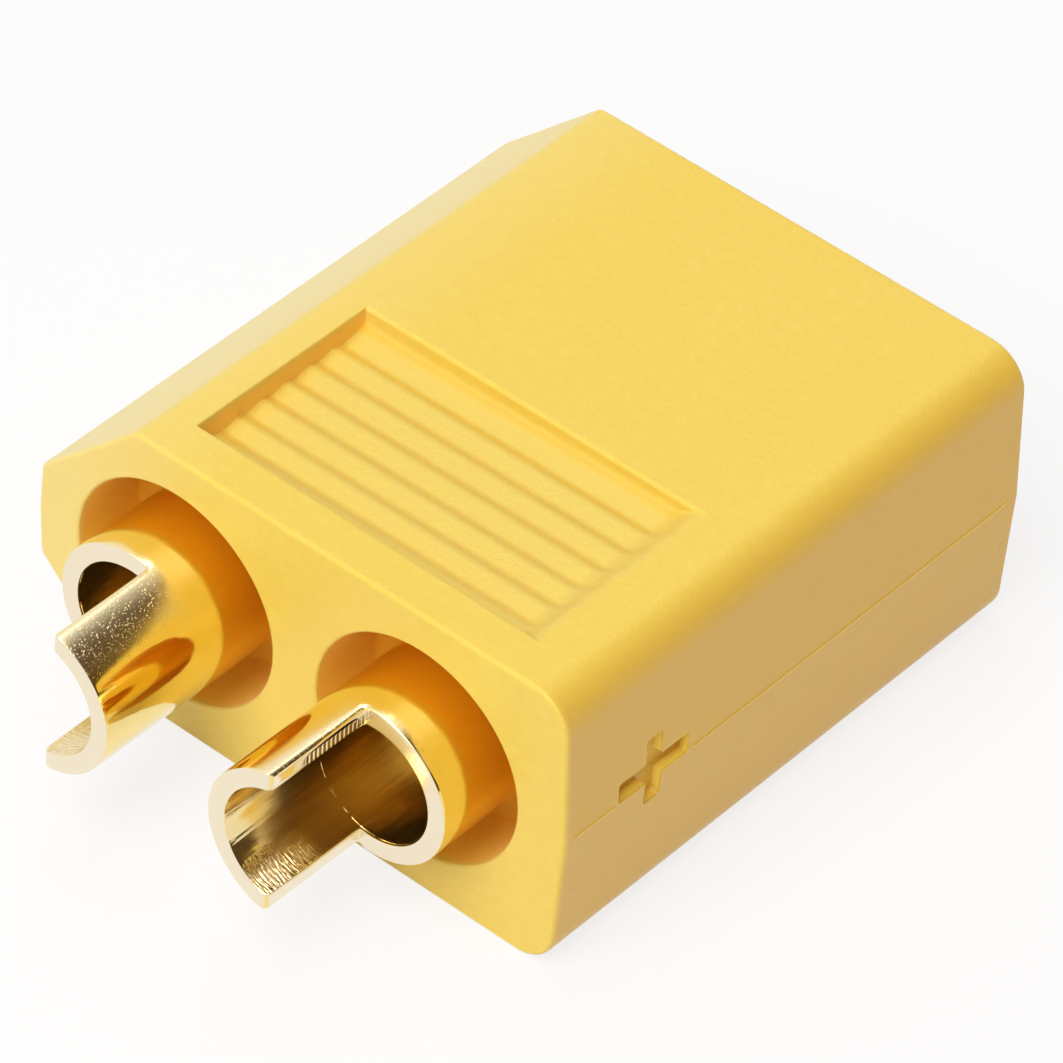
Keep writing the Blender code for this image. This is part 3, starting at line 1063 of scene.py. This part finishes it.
# Painted shade for the dark inside of the bore: a brown, with lighter streaks.
BORE_LIGHT = (0.84, 0.66, 0.27, 1.0)
BORE_SHADE_BROWN = (0.68, 0.47, 0.15, 1.0)
PIT_SIZE = 0.05 * MM
UNEVEN_SIZE = 0.6 * MM
STREAK_SIZE = 0.16 * MM
STREAK_STRETCH = 12
SCORE_SIZE = 0.3 * MM
SCORE_STRETCH = 0.2
CUTTER_PITCH = 0.14 * MM
RING_MARK = CUP_RIM + 0.08 * MM
RING_MARK_HALF = 0.025 * MM
# The painted reflection inside the tip fades out towards here.
TIP_REFLECTION_END = TONGUE_END + 1.3 * MM
TIP_SCORED = TONGUE_END + 2.0 * MM
# The pits and the painted highlight on the upper side end near here.
PITS_AND_HIGHLIGHT_END = CUP_RIM + 0.3 * MM
CHATTER_START = TONGUE_END + 1.1 * MM
HOLLOW_END = REAR + 6 * MM


def stretched_place(bench, along):
    """Object coordinates scaled along Y: a noise makes streaks along it, or across it under 1."""
    settings = {"operation": "MULTIPLY"}
    return bench.node("ShaderNodeVectorMath", settings, {0: bench.place(), 1: (1, 1 / along, 1)})


def gold_zones(bench):
    """Named masks, each 1 where a zone of a contact's surface is and 0 elsewhere."""
    radius, across, y, z = contact_polar(bench)
    facing = bench.node("ShaderNodeNewGeometry", output="Normal")
    facing_x, facing_y, facing_z = (
        bench.node("ShaderNodeSeparateXYZ", None, {0: facing}, output=letter) for letter in "XYZ"
    )
    tip = y.below(TIP_REFLECTION_END, 0.7 * MM)
    ends = facing_y.ramp(-0.8, -0.95)
    hollow = radius.below(CUP_BORE + TENTH, 0.04 * MM) * y.below(HOLLOW_END, TENTH) * (1 - ends)
    milled = abs(facing_x).ramp(0.9, 0.98) * across.within(MILL_REACH, 0.03 * MM)
    inner_half = radius.below(CUP_BORE + 0.3 * MM, 0.03 * MM) * z.above(MIDDLE, TENTH)
    ring = (y - RING_MARK).within(RING_MARK_HALF, RING_MARK_HALF)
    scored = hollow * facing_z.ramp(0.7, 0.9) * y.below(TIP_SCORED, 0.8 * MM)
    # Painted highlight on the end faces and milled faces, and painted reflection of the table inside
    # the tip and on its scored inside.
    pale = ends.most(milled).most(hollow * tip * 0.35).most(scored * 0.7)
    # Painted highlight where the upper side mirrors the bright sky; the same zone takes the bump of
    # fine pits.
    upward = facing_z.ramp(0.62, 0.74) * facing_x.ramp(-0.5, -0.3)
    return {
        "ends": ends,
        "hollow": hollow,
        # The bore takes painted shade, less of it towards the tip.
        "shaded_bore": hollow * (1 - tip * 0.8),
        # Faces turned down get a painted reflection of the white table.
        "pale": pale.most(facing_z.ramp(-0.2, -0.8) * 0.7),
        "chatter": milled * inner_half * y.above(CHATTER_START, 0.5 * MM),
        "pitted_highlight": (1 - hollow) * upward * y.below(PITS_AND_HIGHLIGHT_END, 0.5 * MM),
        "scored": scored,
        "ring": ring * hollow,
    }


def make_gold():
    bench = Bench(bpy.data.materials.new("gold plating"))
    zones = gold_zones(bench)
    pits = bench.noise(PIT_SIZE, detail=1.0, roughness=0.5).ramp(0.62, 0.82)
    uneven = bench.noise(UNEVEN_SIZE, detail=2.0)
    streaks = bench.noise(STREAK_SIZE, detail=2.0, vector=stretched_place(bench, STREAK_STRETCH))
    across = stretched_place(bench, SCORE_STRETCH)
    scores = bench.noise(SCORE_SIZE, detail=2.0, roughness=0.7, vector=across)
    cutter = (bench.axis("Y") * (math.tau / CUTTER_PITCH) + streaks * 3).sine()
    dark_cut = (cutter * 1.5).ramp(-1, 1) * zones["chatter"]

    body = bench.mix((uneven - 0.3) * 1.1, GOLD, GOLD_DEEP)
    # Painted highlight: the upper side and the pale faces take the pale tint.
    body = bench.mix(zones["pitted_highlight"] * TOP_HIGHLIGHT_SHARE, body, GOLD_HIGHLIGHT_PALE)
    body = bench.mix(zones["pale"], body, GOLD_HIGHLIGHT_PALE)
    # Painted shade: the bore's streaked brown, which the milled lines take as well.
    shaded_bore = bench.mix((streaks - 0.3) * 2.0, BORE_SHADE_BROWN, BORE_LIGHT)
    colour = bench.mix(zones["shaded_bore"].most(dark_cut), body, shaded_bore)

    waves = bench.bump(uneven, 0.008 * MM, 0.5)
    grain = bench.bump(streaks * zones["hollow"], 0.012 * MM, 0.8, normal=waves)
    pitted = bench.bump(pits * zones["pitted_highlight"], 0.007 * MM, 1.0, normal=grain)
    scored = bench.bump(scores * zones["scored"], 0.045 * MM, 1.0, normal=pitted)
    lines = bench.bump(cutter * zones["chatter"], 0.012 * MM, 1.0, normal=scored)
    skin = bench.bump(zones["ring"] * (uneven * 6 - 2.5).clamp(), 0.03 * MM, 1.0, normal=lines)
    dull = 0.16 * zones["shaded_bore"] + 0.12 * zones["ends"] + 0.16 * zones["pitted_highlight"]
    bench.feed(bench.shader, {
        "Base Color": colour,
        "Roughness": GOLD_ROUGHNESS + 0.08 * uneven + dull,
        "Normal": skin,
    })
    bench.feed(bench.shader, {"Metallic": 1.0})
    print("gold nodes:", len(bench.tree.nodes))
    return bench.material


gold = make_gold()
for piece in contacts.values():
    piece.data.materials.clear()
    piece.data.materials.append(gold)

# %% [markdown]
# ## Floor, light and world
#
# A white table and two large soft lamps. The floor shows white to the camera and to the
# metal, but it still carries the connector's soft shadow, because only part of its colour
# is its own light. Metal and gloss need something dark to mirror, or they look like paint.
# Here that is the unlit end of the room, a dark patch low in the sky beyond the connector.

# %% Floor
FLOOR_SIZE = 1.2
FLOOR_WHITE = (0.87, 0.86, 0.85, 1.0)
OWN_LIGHT_SEEN = 0.80
OWN_LIGHT_MIRRORED = 0.85


def make_floor():
    bm = bmesh.new()
    bmesh.ops.create_grid(bm, x_segments=1, y_segments=1, size=FLOOR_SIZE / 2)
    floor = keep("floor", bm)
    bench = Bench(bpy.data.materials.new("white table"))
    bench.feed(bench.shader, {"Base Color": FLOOR_WHITE, "Roughness": 0.7, "Specular IOR Level": 0.2})
    seen = bench.node("ShaderNodeLightPath", output="Is Camera Ray")
    mirrored = bench.node("ShaderNodeLightPath", output="Is Glossy Ray")
    glow = bench.node("ShaderNodeEmission", None, {"Color": (1, 1, 1, 1), "Strength": 1.0})
    plain = Wire(bench, bench.shader.outputs[0])
    share = (seen * OWN_LIGHT_SEEN).most(mirrored * OWN_LIGHT_MIRRORED)
    both = bench.node("ShaderNodeMixShader", None, {0: share, 1: plain, 2: glow})
    bench.feed(bench.tree.nodes["Material Output"], {"Surface": both})
    floor.data.materials.append(bench.material)


make_floor()

# %% Lamps and world
LAMP_AIM = Vector((0, 0, 4 * MM))


def soft_lamp(name, place, size, watts):
    data = bpy.data.lights.new(name, "AREA")
    data.shape = "RECTANGLE"
    data.size = size[0]
    data.size_y = size[1]
    data.energy = watts
    lamp = bpy.data.objects.new(name, data)
    lamp.location = place
    lamp.rotation_euler = (Vector(place) - LAMP_AIM).to_track_quat("Z", "Y").to_euler()
    bpy.context.scene.collection.objects.link(lamp)


soft_lamp("key softbox", place=(0.02, -0.28, 0.41), size=(0.35, 0.35), watts=1.95)
soft_lamp("overhead softbox", place=(-0.12, 0.1, 0.5), size=(0.3, 0.3), watts=0.46)

WORLD_LEVEL = 0.34
WORLD_NEUTRAL = (1, 1, 1, 1)
WORLD_WARM = (1.0, 0.66, 0.66, 1)
ROOM_DARK = (0.09, 0.06, 0.03, 1)
DARK_WAY = Vector((0.66, 0.58, 0.45)).normalized()
DARK_INSIDE = math.cos(math.radians(33))
DARK_OUTSIDE = math.cos(math.radians(44))


def make_world():
    world = bpy.data.worlds.new("studio")
    bpy.context.scene.world = world
    bench = Bench(world)
    way = bench.node("ShaderNodeTexCoord", output="Generated")

    def towards(direction):
        settings = {"operation": "DOT_PRODUCT"}
        return bench.node("ShaderNodeVectorMath", settings, {0: way, 1: direction}, output="Value")

    def background(colour, strength):
        return bench.node("ShaderNodeBackground", None, {"Color": colour, "Strength": strength})

    dark = towards(DARK_WAY).ramp(DARK_OUTSIDE, DARK_INSIDE)
    warm = towards(Vector((1, 0, 0))).ramp(0, 0.8)
    room = background(bench.mix(warm, WORLD_NEUTRAL, WORLD_WARM), WORLD_LEVEL)
    mirrored_room = background(bench.mix(dark, WORLD_NEUTRAL, ROOM_DARK), 1.0)
    white = background(WORLD_NEUTRAL, 1.0)
    mirrored = bench.node("ShaderNodeLightPath", output="Is Glossy Ray")
    seen = bench.node("ShaderNodeLightPath", output="Is Camera Ray")
    for_metal = bench.node("ShaderNodeMixShader", None, {0: mirrored, 1: room, 2: mirrored_room})
    everything = bench.node("ShaderNodeMixShader", None, {0: seen, 1: for_metal, 2: white})
    bench.feed(bench.tree.nodes["World Output"], {"Surface": everything})
    print("world nodes:", len(bench.tree.nodes))


make_world()
bpy.context.scene.view_settings.view_transform = "Standard"

# %% [markdown]
# ## Pieces on the frame
#
# Every piece rides on the frame's one body, and the imported node that it stands for is
# hidden. Each row also lists the material slot of the piece's finish.

# %% Ride and replace
PIECES = [
    (housing, "housing", "housing_plastic"),
    (contacts["contact_negative"], "contact_negative", "gold_plating"),
    (contacts["contact_positive"], "contact_positive", "gold_plating"),
]
for piece, node, slot in PIECES:
    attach(piece, "root")
    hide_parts(node)
